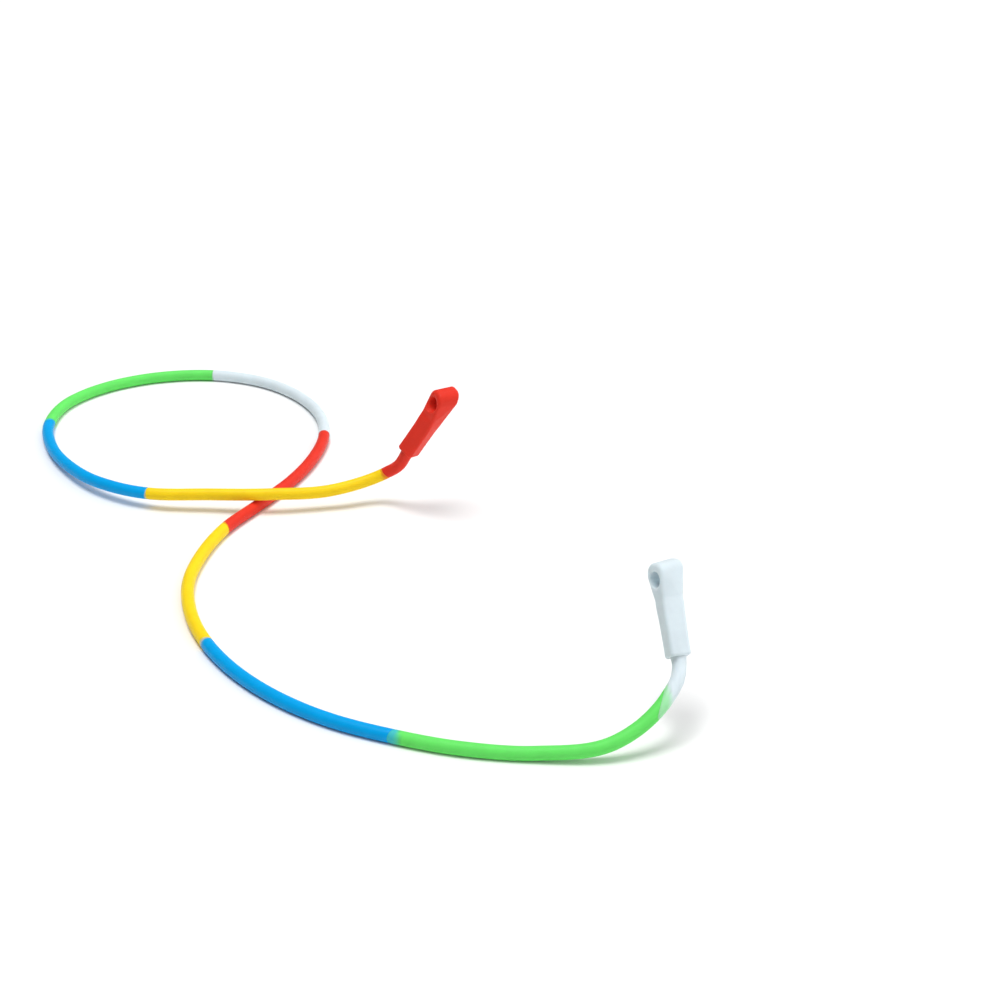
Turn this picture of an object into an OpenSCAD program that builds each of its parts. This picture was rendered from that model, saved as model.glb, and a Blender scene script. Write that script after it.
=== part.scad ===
// Eyeglass retainer strap of moulded silicone: a soft grip for each temple of a pair of
// glasses, and a cord of eight coloured lengths between their tails. It lies on a table
// in one loose loop, while the temples hold its two grips up in the air.
// X runs forward along the temples, Y runs to the wearer's left and Z is up. The origin
// is the middle of the red grip's temple hole.

/* [Cord] */
// Diameter of the cord and of the grips' tails
cord_d = 3.3; // [3:0.1:3.5]

/* [Temple grip] */
// Diameter of the hole that a temple goes through
hole_d = 3.8; // [3.2:0.1:4.2]
// Width of the loop, measured along the temple
loop_w = 6.4; // [6:0.2:7.2]
// Thickness of the loop, from the head's side to the outside
loop_t = 5.6; // [5.4:0.1:6.4]
// Height of the loop
loop_h = 7.2; // [6.6:0.2:8]
// Side of the grip's square shank
shank_side = 4.9; // [4.7:0.1:5.3]
// Distance from the middle of the hole to the end of the shank
grip_reach = 18.3; // [17.6:0.1:19]

/* [Pose] */
// Height of the temple holes above the table
hole_height = 32; // [31:0.5:33]
// Angle of the red shank from straight down
red_lean = 33; // [25:1:40]
// Angle of the white shank from straight down
white_lean = 38; // [32:1:45]

/* [Hidden] */

red_colour = "#ee3b35";
yellow_colour = "#fbd52c";
blue_colour = "#0a9fe0";
green_colour = "#62e36b";
white_colour = "#e2ecf2";

// Where each grip's hole is, and the compass heading that its shank leans to. The pull of
// the cord also rolls the soft loop round the temple, shears it along the temple, by this
// share of the height, turns the shank about its own line, and draws the loop's lower part
// into one taut neck with the shank.
red_hole = [0, 0, 0];
white_hole = [-12.1, -118.3, 0];
red_heading = 135;
white_heading = 251;
red_roll = 12;
white_roll = -16;
red_shear = 0.25;
white_shear = 0.15;
red_turn = -20;
white_turn = 10;

// Cord that is laid out: middle line, with x and y, and how far the cord is lifted off
// the table there. Each coloured length runs over four of these steps, and the first
// and last points lie in the grips' tails.
lies_at = -hole_height + cord_d / 2;
route = [
    [-8.5, 9.5, 10.5],
    [-10.5, 13, 7.5],
    [-25, 18, 3.7], [-40.5, 24.5, 3.7], [-54.5, 34.5, 3.2], [-67.5, 45, 2.6],
    [-75.5, 60.5, 2], [-77.5, 78.5, 1.1], [-75.5, 96.5, 0.3], [-69.5, 113.5, 0],
    [-58.5, 126.5, 0], [-43, 133, 0], [-26, 132.5, 0], [-10.5, 125, 0],
    [0, 111.5, 0], [4, 95, 0], [2.5, 78, 0], [-4, 62.5, 0],
    [-15, 48.5, 0], [-28, 37, 0], [-42.5, 27.5, 0], [-57.5, 18, 0],
    [-69.5, 6.5, 0], [-79.5, -7, 0], [-86, -22.5, 0], [-89.5, -39, 0],
    [-90, -55.5, 0], [-87.5, -72, 0], [-82, -87.5, 0], [-73.5, -101.5, 0],
    [-63, -114.5, 0], [-50.5, -125, 0.2], [-36, -133.5, 2.5], [-21.5, -133.5, 10],
    [-17.8, -131.8, 12.8]
];
steps_in_length = 4;
rings_in_step = 2;
tube_sides = 8;
// A tube with this outer radius has the round cord's own cross-section area.
tube_r = cord_d / 2 * sqrt(2 * PI / (tube_sides * sin(360 / tube_sides)));

corner_steps = 6;
// How far the loop's own block reaches below the middle of the hole.
loop_low = 1.5;
loop_corner_r = 2.2;
loop_edge_r = 0.8;
shank_corner_r = 0.8;
shank_end_r = 0.6;
// The neck between loop and shank ends at this distance from the middle of the hole.
neck_end = 5;
// Width of the shank at distances from the middle of the hole: it is a little wider under
// the loop than at its square end.
shank_widths = [
    [3.4, shank_side + 0.1], [6.5, shank_side + 0.5], [10, shank_side + 0.2],
    [14, shank_side]
];
shank_turn_end = 9;

function unit(v) = v / norm(v);

// Frame of a line that runs along t: [side, up, t], with the side kept level.
function level_frame(t) =
    let (side = unit(cross([0, 0, 1], t)))
    [side, cross(t, side), t];

// Way that a shank points, and a point of its middle line.
function shank_way(lean, heading) =
    [sin(lean) * cos(heading), sin(lean) * sin(heading), -cos(lean)];
function shank_point(hole, s, lean, heading) = hole + s * shank_way(lean, heading);

// Frame of a shank, whose side stays as near to the temple's line as it can.
function shank_frame(s, lean, heading, turn) =
    let (
        t = shank_way(lean, heading),
        side = unit([1, 0, 0] - t[0] * t),
        up = cross(t, side),
        a = turn * min(1, s / shank_turn_end)
    )
    [cos(a) * side + sin(a) * up, cos(a) * up - sin(a) * side, t];

// Points of a rounded rectangle around c, w by h, across a frame.
function rounded_ring(c, frame, w, h, r) = [
    for (q = [0:3], k = [0:corner_steps])
        let (
            a = 90 * (q + k / corner_steps),
            x = (q == 0 || q == 3 ? 1 : -1) * (w / 2 - r) + r * cos(a),
            y = (q < 2 ? 1 : -1) * (h / 2 - r) + r * sin(a)
        )
        c + x * frame[0] + y * frame[1]
];

// Points of one ring of a cord tube, with a flat side underneath.
function tube_ring(c, frame) = [
    for (k = [0:tube_sides - 1])
        let (a = 360 * (k + 0.5) / tube_sides)
        c + tube_r * (cos(a) * frame[0] + sin(a) * frame[1])
];

// Closed solid through a row of rings that turn the same way about its line.
module skin(rings) {
    n = len(rings[0]);
    last = (len(rings) - 1) * n;
    points = [for (ring = rings, p = ring) p];
    sides = [
        for (i = [0:len(rings) - 2], j = [0:n - 1])
            let (a = i * n + j, b = i * n + (j + 1) % n)
            each [[a, a + n, b + n], [a, b + n, b]]
    ];
    start = [[for (j = [0:n - 1]) j]];
    end = [[for (j = [n - 1:-1:0]) last + j]];
    polyhedron(points = points, faces = concat(sides, start, end));
}

// Block of the loop's upper part, with rounded corners and end edges, whose length runs
// along X.
module loop_block(roll, shear) {
    frame = [[0, cos(roll), sin(roll)], [0, -sin(roll), cos(roll)], [1, 0, 0]];
    height = loop_h / 2 + loop_low;
    middle = (loop_h / 2 - loop_low) / 2 * frame[1];
    skin([
        for (end = [-1, 1], k = [0:3])
            let (
                a = 30 * (end < 0 ? k : 3 - k),
                inset = loop_edge_r * (1 - sin(a)),
                x = end * (loop_w / 2 - loop_edge_r + loop_edge_r * cos(a)),
                ring = rounded_ring(middle + [x, 0, 0], frame, loop_t - 2 * inset,
                    height - 2 * inset, loop_corner_r - inset)
            )
            [for (p = ring) [p[0] + shear * p[2], p[1], p[2]]]
    ]);
}

// Length of the shank through the stations given: each is a distance from the middle of
// the hole, and how far the sides are drawn in there.
module shank(stations, hole, lean, heading, turn) {
    skin([
        for (station = stations)
            let (
                s = station[0],
                w = lookup(s, shank_widths) - 2 * station[1],
                t = shank_side - 2 * station[1]
            )
            rounded_ring(shank_point(hole, s, lean, heading),
                shank_frame(s, lean, heading, turn), w, t, shank_corner_r)
    ]);
}

// One grip. The neck is drawn taut from the loop to the top of the shank, and the shank
// starts inside the neck and ends with rounded edges.
module temple_grip(hole, lean, heading, roll, shear, turn) {
    rounding = [
        for (k = [0:3])
            [grip_reach - shank_end_r * (1 - sin(30 * k)), shank_end_r * (1 - cos(30 * k))]
    ];
    difference() {
        union() {
            hull() {
                translate(hole) loop_block(roll, shear);
                shank([[neck_end - 0.2, 0.1], [neck_end, 0]], hole, lean, heading, turn);
            }
            shank(concat([[neck_end - 1, 0.5]], [for (s = [neck_end, 6.5, 8, 9, 10, 12, 14]) [s, 0]],
                rounding), hole, lean, heading, turn);
        }
        translate(hole) rotate([0, 90, 0])
            cylinder(d = hole_d, h = 2 * loop_w, center = true, $fn = 64);
    }
}

// Middle line of the whole cord, from one shank's end to the other's, and its ways
// there. The line is a smooth curve through the route's points.
red_end = shank_point(red_hole, grip_reach, red_lean, red_heading);
red_way = shank_way(red_lean, red_heading);
white_end = shank_point(white_hole, grip_reach, white_lean, white_heading);
white_way = -shank_way(white_lean, white_heading);
laid = [for (p = route) [p[0], p[1], lies_at + p[2]]];
knots = concat([red_end], laid, [white_end]);
last_knot = len(knots) - 1;
function gap(i) = norm(knots[i + 1] - knots[i]);
function knot_way(i) =
    i == 0 ? red_way
    : i == last_knot ? white_way
    : unit((knots[i + 1] - knots[i]) * gap(i - 1) / gap(i)
        + (knots[i] - knots[i - 1]) * gap(i) / gap(i - 1));
function cord_point(i, t) =
    t == 0 ? knots[i]
    : let (a = knot_way(i) * gap(i), b = knot_way(i + 1) * gap(i))
        knots[i] * (1 + 2 * t) * (1 - t) * (1 - t) + knots[i + 1] * t * t * (3 - 2 * t)
            + a * t * (1 - t) * (1 - t) - b * t * t * (1 - t);
function cord_way(i, t) =
    t == 0 ? knot_way(i) : unit(cord_point(i, t + 0.01) - cord_point(i, t - 0.01));

// Tube along the cord from one knot to another.
module tube(first, last) {
    skin([
        for (k = [first * rings_in_step:last * rings_in_step])
            let (i = floor(k / rings_in_step), t = k / rings_in_step - i)
            tube_ring(cord_point(i, t), level_frame(cord_way(i, t)))
    ]);
}
// A coloured length, counted from the red grip.
first_length_knot = 2;
module cord_length(number) {
    first = first_length_knot + (number - 1) * steps_in_length;
    tube(first, first + steps_in_length);
}

module red_grip() {
    color(red_colour)
        temple_grip(red_hole, red_lean, red_heading, red_roll, red_shear, red_turn);
}
module red_tail() { color(red_colour) tube(0, first_length_knot); }
module cord_1_yellow() { color(yellow_colour) cord_length(1); }
module cord_2_blue() { color(blue_colour) cord_length(2); }
module cord_3_green() { color(green_colour) cord_length(3); }
module cord_4_white() { color(white_colour) cord_length(4); }
module cord_5_red() { color(red_colour) cord_length(5); }
module cord_6_yellow() { color(yellow_colour) cord_length(6); }
module cord_7_blue() { color(blue_colour) cord_length(7); }
module cord_8_green() { color(green_colour) cord_length(8); }
module white_tail() { color(white_colour) tube(last_knot - 2, last_knot); }
module white_grip() {
    color(white_colour)
        temple_grip(white_hole, white_lean, white_heading, white_roll, white_shear,
            white_turn);
}

red_grip();
red_tail();
cord_1_yellow();
cord_2_blue();
cord_3_green();
cord_4_white();
cord_5_red();
cord_6_yellow();
cord_7_blue();
cord_8_green();
white_tail();
white_grip();
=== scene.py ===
"""Looks of a silicone eyeglass retainer strap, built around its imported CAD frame.

The strap has two temple grips with round tails, and a cord of eight coloured lengths
between them. It lies on a table in one loose loop with its two grips up in the air.
"""

import math
from collections import namedtuple

import bmesh
import bpy
import numpy as np
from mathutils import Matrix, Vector


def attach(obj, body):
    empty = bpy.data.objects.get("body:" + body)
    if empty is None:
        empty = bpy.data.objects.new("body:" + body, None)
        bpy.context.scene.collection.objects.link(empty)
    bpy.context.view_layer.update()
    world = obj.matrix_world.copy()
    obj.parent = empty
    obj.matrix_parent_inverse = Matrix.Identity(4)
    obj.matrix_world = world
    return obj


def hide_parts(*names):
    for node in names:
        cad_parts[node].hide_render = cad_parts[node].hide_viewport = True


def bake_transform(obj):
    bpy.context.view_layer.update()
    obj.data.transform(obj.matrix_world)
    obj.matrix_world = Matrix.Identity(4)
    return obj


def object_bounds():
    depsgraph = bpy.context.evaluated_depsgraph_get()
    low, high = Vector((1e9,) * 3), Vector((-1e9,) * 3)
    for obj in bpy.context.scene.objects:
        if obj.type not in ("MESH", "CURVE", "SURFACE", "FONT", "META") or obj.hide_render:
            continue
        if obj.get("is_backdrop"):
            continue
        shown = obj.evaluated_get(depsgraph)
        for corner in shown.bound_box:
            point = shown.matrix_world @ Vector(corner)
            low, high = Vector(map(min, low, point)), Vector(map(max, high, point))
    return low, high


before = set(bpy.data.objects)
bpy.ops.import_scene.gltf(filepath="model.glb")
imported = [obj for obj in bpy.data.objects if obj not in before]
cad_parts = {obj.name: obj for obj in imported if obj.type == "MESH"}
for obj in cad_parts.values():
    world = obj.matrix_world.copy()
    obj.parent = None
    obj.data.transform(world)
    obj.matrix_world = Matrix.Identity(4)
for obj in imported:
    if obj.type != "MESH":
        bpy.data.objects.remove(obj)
cad_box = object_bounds()

MM = 0.001

# ---------------------------------------------------------------- sizes, as in the CAD

CORD_D = 0.0033
CORD_R = CORD_D / 2
TABLE_Z = -0.032
LIES_AT = TABLE_Z + CORD_R

# Middle line of the laid cord: x, y and how far it is lifted off the table.
ROUTE = [
    (-0.0085, 0.0095, 0.0105),
    (-0.0105, 0.0130, 0.0075),
    (-0.0250, 0.0180, 0.0037), (-0.0405, 0.0245, 0.0037),
    (-0.0545, 0.0345, 0.0032), (-0.0675, 0.0450, 0.0026),
    (-0.0755, 0.0605, 0.0020), (-0.0775, 0.0785, 0.0011),
    (-0.0755, 0.0965, 0.0003), (-0.0695, 0.1135, 0.0),
    (-0.0585, 0.1265, 0.0), (-0.0430, 0.1330, 0.0),
    (-0.0260, 0.1325, 0.0), (-0.0105, 0.1250, 0.0),
    (0.0000, 0.1115, 0.0), (0.0040, 0.0950, 0.0),
    (0.0025, 0.0780, 0.0), (-0.0040, 0.0625, 0.0),
    (-0.0150, 0.0485, 0.0), (-0.0280, 0.0370, 0.0),
    (-0.0425, 0.0275, 0.0), (-0.0575, 0.0180, 0.0),
    (-0.0695, 0.0065, 0.0), (-0.0795, -0.0070, 0.0),
    (-0.0860, -0.0225, 0.0), (-0.0895, -0.0390, 0.0),
    (-0.0900, -0.0555, 0.0), (-0.0875, -0.0720, 0.0),
    (-0.0820, -0.0875, 0.0), (-0.0735, -0.1015, 0.0),
    (-0.0630, -0.1145, 0.0), (-0.0505, -0.1250, 0.0002),
    (-0.0360, -0.1335, 0.0025), (-0.0215, -0.1335, 0.0100),
    (-0.0178, -0.1318, 0.0128),
]
# The first coloured length starts at this knot, and each length takes this many steps.
FIRST_LENGTH_KNOT = 2
STEPS_IN_LENGTH = 4

# Temple grips, in millimetres. SHANK_WIDTHS gives the shank's width at distances from
# the hole.
HOLE_D = 3.8
LOOP_W = 6.4
LOOP_T = 5.6
LOOP_H = 7.2
LOOP_LOW = 1.5
LOOP_CORNER_R = 2.2
LOOP_EDGE_R = 0.8
NECK_END = 5.0
SHANK_SIDE = 4.9
SHANK_CORNER_R = 0.8
SHANK_END_R = 0.6
SHANK_TURN_END = 9.0
GRIP_REACH = 18.3
SHANK_WIDTHS = (
    (3.4, SHANK_SIDE + 0.1), (6.5, SHANK_SIDE + 0.5), (10, SHANK_SIDE + 0.2), (14, SHANK_SIDE),
)

# Where each grip's hole is, the angle of its shank from straight down and the heading
# that it leans to, how far its loop is rolled round the temple and sheared along it, and
# how far the shank is turned about its own line. Places are in millimetres and angles in
# degrees.
Grip = namedtuple("Grip", "name hole lean heading roll shear turn")
RED_GRIP = Grip("red_grip", (0, 0, 0), 33, 135, 12, 0.25, -20)
WHITE_GRIP = Grip("white_grip", (-12.1, -118.3, 0), 38, 251, -16, 0.15, 10)

# ---------------------------------------------------------------- finishes

# Linear colours of the five silicones.
COLOURS = {
    "red": (0.800, 0.040, 0.022),
    "yellow": (0.985, 0.690, 0.014),
    "blue": (0.000, 0.372, 0.820),
    "green": (0.150, 0.800, 0.145),
    "white": (0.720, 0.810, 0.855),
}
LENGTH_COLOURS = ["yellow", "blue", "green", "white", "red", "yellow", "blue", "green"]

# Share of the light that goes into each silicone, how far it goes in metres, and the
# share of that distance for a channel of the colour that is 0.
SUBSURFACE = {"red": 0.20, "yellow": 0.25, "blue": 0.12, "green": 0.25, "white": 0.55}
SUBSURFACE_REACH = 0.0011
SUBSURFACE_LEAST = 0.25
SPECULAR_LEVEL = 0.14
SILICONE_IOR = 1.43

# Patterns over the silicone, with scales for one millimetre. The darker colour of the
# mottling is MOTTLE_SHARE of the silicone's own, and the grain and the swell have these
# shares in the bump, where the parting line's ridge has 1.
Noise = namedtuple("Noise", "scale detail roughness")
MOTTLE_NOISE = Noise(0.22, 3, 0.55)
MOTTLE_RANGE = (0.35, 0.65)
MOTTLE_SHARE = 0.955
GLOSS_NOISE = Noise(1.1, 4, 0.6)
GLOSS_RANGE = (0.3, 0.7)
ROUGHNESS_RANGE = (0.36, 0.50)
GRAIN_NOISE = Noise(7.0, 3, 0.6)
GRAIN_SHARE = 0.30
SWELL_NOISE = Noise(0.8, 2, 0.5)
SWELL_SHARE = 0.8

# Specks of lint, one in each cell of a pattern: its scale for one millimetre, the
# distances in cells between which a speck fades out, how strong it is, and how much of
# the silicone's own colour and of white it has.
SPECK_SCALE = 0.42
SPECK_FADE = (0.02, 0.035)
SPECK_STRENGTH = 0.35
SPECK_OWN_SHARE = 0.5
SPECK_WHITE_SHARE = 0.4

# The parting line's ridge fades between these distances from it, in millimetres.
SEAM_FADE = (0.02, 0.09)
BUMP_STRENGTH = 0.7
BUMP_HEIGHT = 0.00002

# How each length is bonded to the next, counted from the red tail. The cut leans by
# slant along the cord and is furthest on at the angle toward, in degrees round the cord
# from its level side, and shift moves it along. The lap is how far one colour shows
# through the other on the side away from toward. On the side at toward it is LAP_LEAST
# of that. shows_on tells which length it shows on: the last, before the bond, or the
# next.
Bond = namedtuple("Bond", "shift slant toward lap shows_on")
BONDS = [
    Bond(0.0, 0.0005, 90, 0.0022, "next"),
    Bond(0.0, 0.0001, 90, 0.0008, "next"),
    Bond(0.0, 0.0007, 200, 0.0014, "next"),
    Bond(0.0, 0.0001, 90, 0.0008, "next"),
    Bond(0.0, 0.0002, 90, 0.0008, "last"),
    Bond(0.0, 0.0007, 0, 0.0014, "last"),
    Bond(0.0, 0.0004, 0, 0.0016, "next"),
    Bond(0.0, 0.0006, 0, 0.0034, "next"),
    Bond(-0.0022, 0.0036, 10, 0.0060, "next"),
]
LAP_STRENGTH = 0.62
LAP_LEAST = 0.2

# The groove at a bond: how deep it is, and how far it reaches on each side.
BOND_GROOVE = 0.00005
BOND_ROUND = 0.00035

# Rings follow a bond's slant less and less over this much of the cord, or over this
# share of a shorter piece.
BOND_SPREAD = 0.012
BOND_SPREAD_SHARE = 0.9

# Points in each ring of a tube, how far apart the rings are, and their distances from
# each end, where they are closer.
TUBE_SIDES = 32
RING_GAP = 0.0012
END_RINGS = (0.0, 0.0001, 0.0002, 0.00035, 0.0007)

# A tail starts this deep inside its grip and flares where it comes out.
ROOT_DEPTH = 0.0010
ROOT_FLARE = 0.00032
ROOT_FLARE_REACH = 0.0006

# Waves of the cord's turn about its own line: how far in radians, and the length of
# cord in one radian of the wave.
TWIST_WAVES = ((0.35, 0.055), (0.2, 0.021))

X_AXIS = np.array([1.0, 0.0, 0.0])
Z_AXIS = np.array([0.0, 0.0, 1.0])


def unit(v):
    """Vectors of length 1 that point the same way."""
    v = np.asarray(v, float)
    return v / np.linalg.norm(v, axis=-1, keepdims=True)


def ease(x):
    """0 before 0, 1 after 1 and smooth between them."""
    x = np.clip(x, 0, 1)
    return x * x * (3 - 2 * x)


# ---------------------------------------------------------------- camera

CAMERA_AIM = (0.0170, -0.0018, TABLE_Z)
CAMERA_DISTANCE = 0.6097
CAMERA_TURN = math.radians(32)
CAMERA_PITCH = math.radians(24)
CAMERA_LENS = 79.2
CAMERA_SENSOR = 36


def add_camera():
    """Camera at the photograph's viewing angle."""
    way = Vector((
        math.sin(CAMERA_TURN) * math.cos(CAMERA_PITCH),
        math.cos(CAMERA_TURN) * math.cos(CAMERA_PITCH),
        -math.sin(CAMERA_PITCH),
    ))
    data = bpy.data.cameras.new("camera")
    data.lens = CAMERA_LENS
    data.sensor_width = CAMERA_SENSOR
    camera = bpy.data.objects.new("camera", data)
    camera.location = Vector(CAMERA_AIM) - CAMERA_DISTANCE * way
    camera.rotation_euler = way.to_track_quat("-Z", "Y").to_euler()
    bpy.context.collection.objects.link(camera)
    bpy.context.scene.camera = camera


add_camera()

# ---------------------------------------------------------------- shank lines


def shank_way(grip):
    """Direction of the shank, from the hole to its end."""
    lean = math.radians(grip.lean)
    heading = math.radians(grip.heading)
    return np.array([
        math.sin(lean) * math.cos(heading),
        math.sin(lean) * math.sin(heading),
        -math.cos(lean),
    ])


def shank_points(grip, s):
    """Middle of the shank at distances s from the hole, in millimetres."""
    return np.array(grip.hole, float) + np.asarray(s, float)[..., None] * shank_way(grip)


def shank_frames(grip, s):
    """Side and up of the shank: its side stays as near to the temple as it can."""
    way = shank_way(grip)
    side = unit(X_AXIS - way * way[0])
    up = np.cross(way, side)
    turn = math.radians(grip.turn) * np.minimum(1, np.asarray(s, float) / SHANK_TURN_END)
    turn = turn[..., None]
    return np.cos(turn) * side + np.sin(turn) * up, np.cos(turn) * up - np.sin(turn) * side


# ---------------------------------------------------------------- the cord's line

red_end = shank_points(RED_GRIP, GRIP_REACH) * MM
white_end = shank_points(WHITE_GRIP, GRIP_REACH) * MM
red_way = shank_way(RED_GRIP)
white_way = -shank_way(WHITE_GRIP)
knots = np.array([red_end] + [(x, y, LIES_AT + lift) for x, y, lift in ROUTE] + [white_end])
LAST_KNOT = len(knots) - 1
SAMPLES_IN_STEP = 60
RUN_IN = 0.003


def trace_line():
    """Distances along the cord's middle line, its points, and the distance of each knot.

    The line is one cubic from each knot to the next. Its direction at a knot is between
    those of the steps on each side, and nearer to the shorter step's.
    """
    gaps = np.linalg.norm(np.diff(knots, axis=0), axis=1)
    steps = np.diff(knots, axis=0)
    ways = [red_way]
    for i in range(1, LAST_KNOT):
        ways.append(unit(steps[i] * gaps[i - 1] / gaps[i] + steps[i - 1] * gaps[i] / gaps[i - 1]))
    ways.append(white_way)
    t = np.linspace(0, 1, SAMPLES_IN_STEP, endpoint=False)[:, None]
    points = []
    for i in range(LAST_KNOT):
        a = ways[i] * gaps[i]
        b = ways[i + 1] * gaps[i]
        points.append(
            knots[i] * (1 + 2 * t) * (1 - t) ** 2 + knots[i + 1] * t * t * (3 - 2 * t)
            + a * t * (1 - t) ** 2 - b * t * t * (1 - t)
        )
    points = np.vstack(points + [knots[-1:]])
    along = np.concatenate([[0], np.cumsum(np.linalg.norm(np.diff(points, axis=0), axis=1))])
    knot_at = along[::SAMPLES_IN_STEP]
    # The line runs straight on into both grips.
    points = np.vstack([points[0] - RUN_IN * red_way, points, points[-1] + RUN_IN * white_way])
    along = np.concatenate([[-RUN_IN], along, [along[-1] + RUN_IN]])
    return along, points, knot_at


line_s, line_p, knot_s = trace_line()
line_t = unit(np.gradient(line_p, line_s, axis=0))
TOTAL = knot_s[-1]
JOINT_S = [knot_s[FIRST_LENGTH_KNOT + STEPS_IN_LENGTH * k] for k in range(len(BONDS))]


def on_line(s, table):
    """Points or directions from a table, at distances s along the line."""
    return np.stack([np.interp(s, line_s, table[:, axis]) for axis in range(3)], axis=-1)


def line_frames(s):
    """Points of the line at distances s, and the level side and the up there."""
    way = unit(on_line(s, line_t))
    side = unit(np.cross(np.broadcast_to(Z_AXIS, way.shape), way))
    return on_line(s, line_p), side, np.cross(way, side)


def twist_at(s):
    """How far the cord has turned about its own line, which its parting lines show."""
    return sum(turn * np.sin(s / wave) for turn, wave in TWIST_WAVES)


# ---------------------------------------------------------------- meshes


def add_object(name, points, faces):
    """Object made of points and faces."""
    mesh = bpy.data.meshes.new(name)
    mesh.from_pydata([tuple(p) for p in points], [], faces)
    mesh.validate()
    made = bpy.data.objects.new(name, mesh)
    bpy.context.collection.objects.link(made)
    return made


def skin_faces(rings, sides):
    """Faces of a closed skin over rings of points, with a middle point at each end."""
    faces = []
    for i in range(rings - 1):
        for j in range(sides):
            a = i * sides + j
            b = i * sides + (j + 1) % sides
            faces.append((a, b, b + sides, a + sides))
    first_middle = rings * sides
    last = (rings - 1) * sides
    for j in range(sides):
        k = (j + 1) % sides
        faces.append((k, j, first_middle))
        faces.append((last + j, last + k, first_middle + 1))
    return faces


def skin(name, rings):
    """Object of a closed skin over rings of points."""
    rings = np.asarray(rings)
    points = np.vstack([rings.reshape(-1, 3), rings[0].mean(axis=0), rings[-1].mean(axis=0)])
    return add_object(name, points, skin_faces(rings.shape[0], rings.shape[1]))


def dress(piece, material, seam, tint=None):
    """Smooth shading, the material, and the values that it reads from the mesh: the place
    at rest and the distance from the mould's parting line, both in millimetres, and the
    colour of a neighbour that shows through, with how much of it in alpha."""
    mesh = piece.data
    mesh.shade_smooth()
    places = np.empty(len(mesh.vertices) * 3)
    mesh.vertices.foreach_get("co", places)
    rest = mesh.attributes.new("rest", "FLOAT_VECTOR", "POINT")
    rest.data.foreach_set("vector", (places / MM).astype(np.float32))
    line = mesh.attributes.new("seam", "FLOAT", "POINT")
    line.data.foreach_set("value", np.asarray(seam, np.float32))
    shown = mesh.color_attributes.new("tint", "FLOAT_COLOR", "POINT")
    values = np.zeros((len(mesh.vertices), 4), np.float32)
    if tint is not None:
        values[:] = tint
    shown.data.foreach_set("color", values.ravel())
    mesh.materials.clear()
    mesh.materials.append(material)


# ---------------------------------------------------------------- silicone


def value_node(nodes, operation, *values):
    """Math node. A value of None leaves its input to be linked."""
    node = nodes.new("ShaderNodeMath")
    node.operation = operation
    for socket, value in zip(node.inputs, values):
        if value is not None:
            socket.default_value = value
    return node


def noise_node(nodes, links, place, noise):
    """Value of a noise pattern at a place."""
    node = nodes.new("ShaderNodeTexNoise")
    node.inputs["Scale"].default_value = noise.scale
    node.inputs["Detail"].default_value = noise.detail
    node.inputs["Roughness"].default_value = noise.roughness
    links.new(place, node.inputs["Vector"])
    return node.outputs["Fac"]


def range_node(nodes, links, value, low, high, to_low, to_high):
    """Value that goes smoothly from to_low to to_high as the one given goes from low to high."""
    node = nodes.new("ShaderNodeMapRange")
    node.interpolation_type = "SMOOTHSTEP"
    node.inputs["From Min"].default_value = low
    node.inputs["From Max"].default_value = high
    node.inputs["To Min"].default_value = to_low
    node.inputs["To Max"].default_value = to_high
    links.new(value, node.inputs["Value"])
    return node.outputs["Result"]


def mix_node(nodes, links, amount, a, b):
    """Mix of two colours, each a colour or a socket."""
    node = nodes.new("ShaderNodeMix")
    node.data_type = "RGBA"
    links.new(amount, node.inputs["Factor"])
    for name, value in (("A", a), ("B", b)):
        socket = [s for s in node.inputs if s.name == name and s.type == "RGBA"][0]
        if isinstance(value, bpy.types.NodeSocket):
            links.new(value, socket)
        else:
            socket.default_value = (*value, 1)
    return [s for s in node.outputs if s.type == "RGBA"][0]


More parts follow.
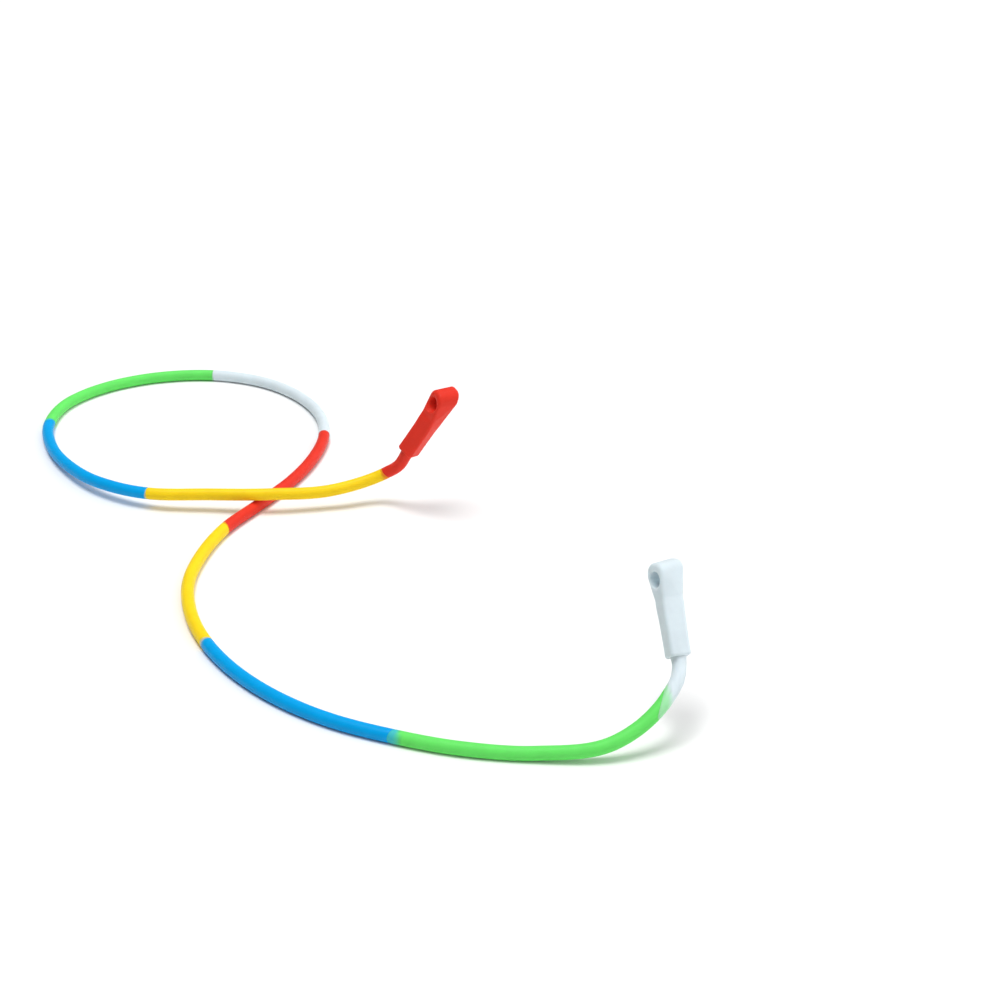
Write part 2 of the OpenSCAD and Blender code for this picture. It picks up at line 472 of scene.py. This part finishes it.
def silicone(colour):
    """Satin moulded silicone: faint mottling, a fine matt grain, a thin parting line, a
    few specks of lint, and a neighbour's colour where a lap lets it through."""
    lit = COLOURS[colour]
    deep = tuple(MOTTLE_SHARE * channel for channel in lit)
    material = bpy.data.materials.new(colour + "_silicone_satin")
    material.use_nodes = True
    nodes = material.node_tree.nodes
    links = material.node_tree.links
    shader = nodes["Principled BSDF"]
    attributes = {}
    for name in ("rest", "seam", "tint"):
        attributes[name] = nodes.new("ShaderNodeAttribute")
        attributes[name].attribute_name = name
    place = attributes["rest"].outputs["Vector"]

    cloud = noise_node(nodes, links, place, MOTTLE_NOISE)
    mottle = range_node(nodes, links, cloud, *MOTTLE_RANGE, 0, 1)
    body = mix_node(nodes, links, mottle, deep, lit)
    body = mix_node(nodes, links, attributes["tint"].outputs["Alpha"], body,
                    attributes["tint"].outputs["Color"])

    cells = nodes.new("ShaderNodeTexVoronoi")
    cells.inputs["Scale"].default_value = SPECK_SCALE
    links.new(place, cells.inputs["Vector"])
    speck = range_node(nodes, links, cells.outputs["Distance"], *SPECK_FADE, SPECK_STRENGTH, 0)
    pale = tuple(SPECK_OWN_SHARE * channel + SPECK_WHITE_SHARE for channel in lit)
    body = mix_node(nodes, links, speck, body, pale)
    links.new(body, shader.inputs["Base Color"])

    worn = noise_node(nodes, links, place, GLOSS_NOISE)
    roughness = range_node(nodes, links, worn, *GLOSS_RANGE, *ROUGHNESS_RANGE)
    links.new(roughness, shader.inputs["Roughness"])
    shader.inputs["Specular IOR Level"].default_value = SPECULAR_LEVEL
    shader.inputs["IOR"].default_value = SILICONE_IOR
    shader.inputs["Subsurface Weight"].default_value = SUBSURFACE[colour]
    reach = tuple(SUBSURFACE_LEAST + (1 - SUBSURFACE_LEAST) * channel for channel in lit)
    shader.inputs["Subsurface Radius"].default_value = reach
    shader.inputs["Subsurface Scale"].default_value = SUBSURFACE_REACH

    off_seam = value_node(nodes, "ABSOLUTE")
    links.new(attributes["seam"].outputs["Fac"], off_seam.inputs[0])
    ridge = range_node(nodes, links, off_seam.outputs[0], *SEAM_FADE, 1, 0)
    grain = noise_node(nodes, links, place, GRAIN_NOISE)
    swell = noise_node(nodes, links, place, SWELL_NOISE)
    height = value_node(nodes, "MULTIPLY_ADD", None, GRAIN_SHARE, None)
    links.new(grain, height.inputs[0])
    links.new(ridge, height.inputs[2])
    whole = value_node(nodes, "MULTIPLY_ADD", None, SWELL_SHARE, None)
    links.new(swell, whole.inputs[0])
    links.new(height.outputs[0], whole.inputs[2])
    bump = nodes.new("ShaderNodeBump")
    bump.inputs["Strength"].default_value = BUMP_STRENGTH
    bump.inputs["Distance"].default_value = BUMP_HEIGHT
    links.new(whole.outputs[0], bump.inputs["Height"])
    links.new(bump.outputs["Normal"], shader.inputs["Normal"])
    return material


materials = {colour: silicone(colour) for colour in COLOURS}

# ---------------------------------------------------------------- cord and tails


def bond_turn(k, angles):
    """Cosine of how far round the cord each angle is from where bond k's cut is furthest on."""
    return np.cos(angles + twist_at(JOINT_S[k]) - math.radians(BONDS[k].toward))


def bond_at(k, angles):
    """Distance along the line of bond k's cut, at angles round the cord."""
    return JOINT_S[k] + BONDS[k].shift + BONDS[k].slant * bond_turn(k, angles)


def ring_stations(start, end):
    """Distances along the line of a tube's rings."""
    inner = np.linspace(start, end, max(2, round((end - start) / RING_GAP)) + 1)[1:-1]
    close = [start + d for d in END_RINGS] + [end - d for d in END_RINGS]
    inner = [s for s in inner if start + END_RINGS[-1] < s < end - END_RINGS[-1]]
    return np.array(sorted(close + list(inner)))


def tube_piece(name, colour, first_bond=None, last_bond=None):
    """Tube of one colour from one bond, or from inside a grip, to the next."""
    angles = np.arange(TUBE_SIDES) * 2 * math.pi / TUBE_SIDES
    start = -ROOT_DEPTH if first_bond is None else JOINT_S[first_bond]
    end = TOTAL + ROOT_DEPTH if last_bond is None else JOINT_S[last_bond]
    stations = ring_stations(start, end)
    spread = min(BOND_SPREAD, BOND_SPREAD_SHARE * (end - start))
    s = np.repeat(stations[:, None], TUBE_SIDES, axis=1)
    shares = []
    if first_bond is not None:
        share = 1 - ease((stations - start) / spread)
        s = s + share[:, None] * (bond_at(first_bond, angles) - start)
        shares.append((first_bond, 1, "next"))
    if last_bond is not None:
        share = 1 - ease((end - stations) / spread)
        s = s + share[:, None] * (bond_at(last_bond, angles) - end)
        shares.append((last_bond, -1, "last"))

    radius = np.full(s.shape, CORD_R)
    tint = np.zeros(s.shape + (4,))
    order = ["red"] + LENGTH_COLOURS + ["white"]
    for bond_number, sign, side_name in shares:
        depth = sign * (s - bond_at(bond_number, angles))
        radius -= BOND_GROOVE * (1 - ease(depth / BOND_ROUND))
        bond = BONDS[bond_number]
        if bond.shows_on == side_name:
            neighbour = order[bond_number] if side_name == "next" else order[bond_number + 1]
            away = (1 - bond_turn(bond_number, angles)) / 2
            lap = bond.lap * (LAP_LEAST + (1 - LAP_LEAST) * away)
            # The colour is even over the first half of the lap and fades over the second.
            amount = LAP_STRENGTH * (1 - ease(2 * depth / lap - 1))
            shown = amount > tint[..., 3]
            tint[shown, :3] = COLOURS[neighbour]
            tint[..., 3] = np.where(shown, amount, tint[..., 3])
    for root, sign, ends_here in ((0, 1, first_bond is None), (TOTAL, -1, last_bond is None)):
        if ends_here:
            out = sign * (s - root)
            radius += ROOT_FLARE * np.clip(1 - out / ROOT_FLARE_REACH, 0, 1) ** 2 * (out > 0)
            radius += ROOT_FLARE * (out <= 0)

    centre, side, up = line_frames(s)
    round_it = angles + twist_at(s)
    rings = centre + radius[..., None] * (
        np.cos(round_it)[..., None] * side + np.sin(round_it)[..., None] * up
    )
    piece = skin(name, rings)
    # The middle points of the two ends come last.
    seam = np.append((radius * np.sin(angles)).ravel() / MM, [1, 1])
    tint = np.vstack([tint.reshape(-1, 4), tint[0, 0], tint[-1, 0]])
    dress(piece, materials[colour], seam, tint)
    return piece, on_line(stations, line_p)


for number, colour in enumerate(LENGTH_COLOURS, start=1):
    node = f"cord_{number}_{colour}"
    piece, centres = tube_piece(f"{node}_length", colour, number - 1, number)
    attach(piece, "cord")
    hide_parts(node)

red_tail, _ = tube_piece("red_tail_round", "red", None, 0)
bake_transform(red_tail)
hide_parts("red_tail")

white_tail, _ = tube_piece("white_tail_round", "white", len(BONDS) - 1, None)
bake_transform(white_tail)
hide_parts("white_tail")

# ---------------------------------------------------------------- temple grips

# Sizes below are in millimetres, as the grips are when they are made.
GRIP_VOXEL = 0.14
SMOOTH_TIMES = 6
SMOOTH_FACTOR = 0.5
CORNER_STEPS = 10
HOLE_SIDES = 64
RIM_R = 0.35
SHANK_STEP = 0.4
# The shank's block starts this far above the neck's end, this much thinner all round.
SHANK_START_UP = 1
SHANK_START_INSET = 0.5
# The evenly spaced rings stop this far short of the shank's end, which is rounded.
SHANK_STEPS_STOP = 1.2
SEAM_STEP = 0.2
# Angles over a quarter turn, for rounded edges.
QUARTER = [math.radians(15 * k) for k in range(7)]


def rounded_ring(centre, side, up, w, h, r):
    """Rounded rectangle, w by h, about a centre."""
    ring = []
    for quarter in range(4):
        for k in range(CORNER_STEPS + 1):
            a = math.pi / 2 * (quarter + k / CORNER_STEPS)
            x = (w / 2 - r) * (1 if quarter in (0, 3) else -1) + r * math.cos(a)
            y = (h / 2 - r) * (1 if quarter < 2 else -1) + r * math.sin(a)
            ring.append(centre + x * side + y * up)
    return ring


def loop_rings(grip):
    """Rings of the loop's upper part, whose length runs along the temple."""
    roll = math.radians(grip.roll)
    across = np.array([0, math.cos(roll), math.sin(roll)])
    upward = np.array([0, -math.sin(roll), math.cos(roll)])
    middle = (LOOP_H / 2 - LOOP_LOW) / 2 * upward
    rings = []
    for end in (-1, 1):
        for a in QUARTER if end < 0 else reversed(QUARTER):
            inset = LOOP_EDGE_R * (1 - math.sin(a))
            x = end * (LOOP_W / 2 - LOOP_EDGE_R * (1 - math.cos(a)))
            rings.append(rounded_ring(
                middle + x * X_AXIS, across, upward,
                LOOP_T - 2 * inset, LOOP_H / 2 + LOOP_LOW - 2 * inset, LOOP_CORNER_R - inset,
            ))
    rings = np.array(rings)
    rings[..., 0] += grip.shear * rings[..., 2]
    return rings + np.array(grip.hole, float)


def shank_ring(grip, s, inset):
    """Outline of the shank at distance s from the hole, made smaller by inset."""
    side, up = shank_frames(grip, s)
    w = np.interp(s, *zip(*SHANK_WIDTHS)) - 2 * inset
    t = SHANK_SIDE - 2 * inset
    return rounded_ring(shank_points(grip, s), side, up, w, t, SHANK_CORNER_R)


def neck_block(grip):
    """The loop, drawn taut into the top of the shank."""
    points = np.vstack([loop_rings(grip).reshape(-1, 3), shank_ring(grip, NECK_END, 0)])
    block = add_object(grip.name + "_neck_block", points, [])
    shape = bmesh.new()
    shape.from_mesh(block.data)
    hull = bmesh.ops.convex_hull(shape, input=shape.verts)
    inside = [v for v in hull["geom_interior"] if isinstance(v, bmesh.types.BMVert)]
    bmesh.ops.delete(shape, geom=inside, context="VERTS")
    shape.to_mesh(block.data)
    shape.free()
    return block


def shank_block(grip):
    """The square shank, with a rounded edge at its end."""
    stations = [(NECK_END - SHANK_START_UP, SHANK_START_INSET)]
    even = np.arange(NECK_END, GRIP_REACH - SHANK_STEPS_STOP, SHANK_STEP)
    stations += [(s, 0.0) for s in even]
    for a in QUARTER:
        inset = SHANK_END_R * (1 - math.cos(a))
        stations.append((GRIP_REACH - SHANK_END_R * (1 - math.sin(a)), inset))
    rings = [shank_ring(grip, s, inset) for s, inset in stations]
    return skin(grip.name + "_shank_block", rings)


def hole_core(grip):
    """Core of the temple hole, which flares at both rims."""
    hole = np.array(grip.hole, float)
    profile = [(-LOOP_W, HOLE_D / 2 + RIM_R)]
    for a in QUARTER:
        radius = HOLE_D / 2 + RIM_R * (1 - math.sin(a))
        profile.append((RIM_R * (1 - math.cos(a)) - LOOP_W / 2, radius))
    profile += [(-x, r) for x, r in reversed(profile)]
    angles = np.arange(HOLE_SIDES) * 2 * math.pi / HOLE_SIDES
    rings = np.array([
        np.stack([np.full(HOLE_SIDES, x), r * np.cos(angles), r * np.sin(angles)], axis=-1)
        for x, r in profile
    ])
    rings[..., 0] += grip.shear * rings[..., 2]
    return skin(grip.name + "_hole_core", rings + hole)


def add_boolean(piece, other, operation):
    """Add the other piece to this one, or cut it away, when the modifiers are finished."""
    modifier = piece.modifiers.new(operation.lower(), "BOOLEAN")
    modifier.operation = operation
    modifier.solver = "EXACT"
    modifier.object = other


def finish_modifiers(piece):
    """Keep the mesh that the modifiers make, and take them off."""
    bpy.context.view_layer.update()
    graph = bpy.context.evaluated_depsgraph_get()
    mesh = bpy.data.meshes.new_from_object(piece.evaluated_get(graph))
    piece.modifiers.clear()
    piece.data = mesh


def grip_seam(grip, places):
    """Distance of each point from the parting plane, which halves the shank's depth."""
    stations = np.arange(0, GRIP_REACH + SEAM_STEP, SEAM_STEP)
    middles = shank_points(grip, stations)
    _, ups = shank_frames(grip, stations)
    nearest = np.argmin(np.linalg.norm(places[:, None] - middles[None], axis=2), axis=1)
    return np.einsum("ij,ij->i", places - middles[nearest], ups[nearest])


def temple_grip(grip, colour):
    """One grip as a single soft moulding. It is made in millimetres, where remeshing is
    steady, and then brought to metres."""
    piece = neck_block(grip)
    piece.name = grip.name + "_moulding"
    shank = shank_block(grip)
    core = hole_core(grip)
    add_boolean(piece, shank, "UNION")
    add_boolean(piece, core, "DIFFERENCE")
    remesh = piece.modifiers.new("remesh", "REMESH")
    remesh.mode = "VOXEL"
    remesh.voxel_size = GRIP_VOXEL
    smooth = piece.modifiers.new("smooth", "SMOOTH")
    smooth.factor = SMOOTH_FACTOR
    smooth.iterations = SMOOTH_TIMES
    finish_modifiers(piece)
    for part in (shank, core):
        bpy.data.objects.remove(part, do_unlink=True)
    places = np.empty(len(piece.data.vertices) * 3)
    piece.data.vertices.foreach_get("co", places)
    places = places.reshape(-1, 3)
    seam = grip_seam(grip, places)
    piece.data.vertices.foreach_set("co", (places * MM).ravel())
    piece.data.update()
    dress(piece, materials[colour], seam)
    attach(piece, grip.name)
    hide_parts(grip.name)


temple_grip(RED_GRIP, "red")
temple_grip(WHITE_GRIP, "white")

# ---------------------------------------------------------------- studio

FLOOR_HALF = 15.0
FLOOR_COLOUR = (0.93, 0.93, 0.93)
FLOOR_ROUGHNESS = 0.9
FLOOR_SPECULAR_LEVEL = 0.1

# Each way points from the table to the light, and the angle is how wide the light is.
KEY_WAY = Vector((-0.12, 0.06, 1.0))
KEY_STRENGTH = 1.9
KEY_ANGLE = math.radians(30)
SOFT_WAY = Vector((0.75, -0.55, 1.0))
SOFT_STRENGTH = 1.95
SOFT_ANGLE = math.radians(120)
WORLD_STRENGTH = 0.13


def add_floor():
    """Plain pale table, far wider than the camera sees."""
    corners = [(-1, -1), (1, -1), (1, 1), (-1, 1)]
    points = [(FLOOR_HALF * x, FLOOR_HALF * y, TABLE_Z) for x, y in corners]
    floor = add_object("studio_floor", points, [(0, 1, 2, 3)])
    material = bpy.data.materials.new("studio_floor_white")
    material.use_nodes = True
    shader = material.node_tree.nodes["Principled BSDF"]
    shader.inputs["Base Color"].default_value = (*FLOOR_COLOUR, 1)
    shader.inputs["Roughness"].default_value = FLOOR_ROUGHNESS
    shader.inputs["Specular IOR Level"].default_value = FLOOR_SPECULAR_LEVEL
    floor.data.materials.append(material)
    floor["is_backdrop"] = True


def add_sun(name, way, strength, angle):
    """Even light over the whole table, from the way given."""
    data = bpy.data.lights.new(name, "SUN")
    data.energy = strength
    data.angle = angle
    light = bpy.data.objects.new(name, data)
    light.location = way
    light.rotation_euler = (-way).to_track_quat("-Z", "Y").to_euler()
    bpy.context.collection.objects.link(light)


def add_world():
    """White surroundings that fill the shadows."""
    world = bpy.data.worlds.new("studio_world")
    world.use_nodes = True
    background = world.node_tree.nodes["Background"]
    background.inputs["Color"].default_value = (1, 1, 1, 1)
    background.inputs["Strength"].default_value = WORLD_STRENGTH
    bpy.context.scene.world = world


add_floor()
add_world()
add_sun("overhead_softbox", KEY_WAY, KEY_STRENGTH, KEY_ANGLE)
add_sun("right_softbox", SOFT_WAY, SOFT_STRENGTH, SOFT_ANGLE)
bpy.context.scene.view_settings.view_transform = "Standard"

boxes = {"cad": cad_box, "visual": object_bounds()}
for name, box in boxes.items():
    boxes[name] = [[float(value) for value in corner] for corner in box]
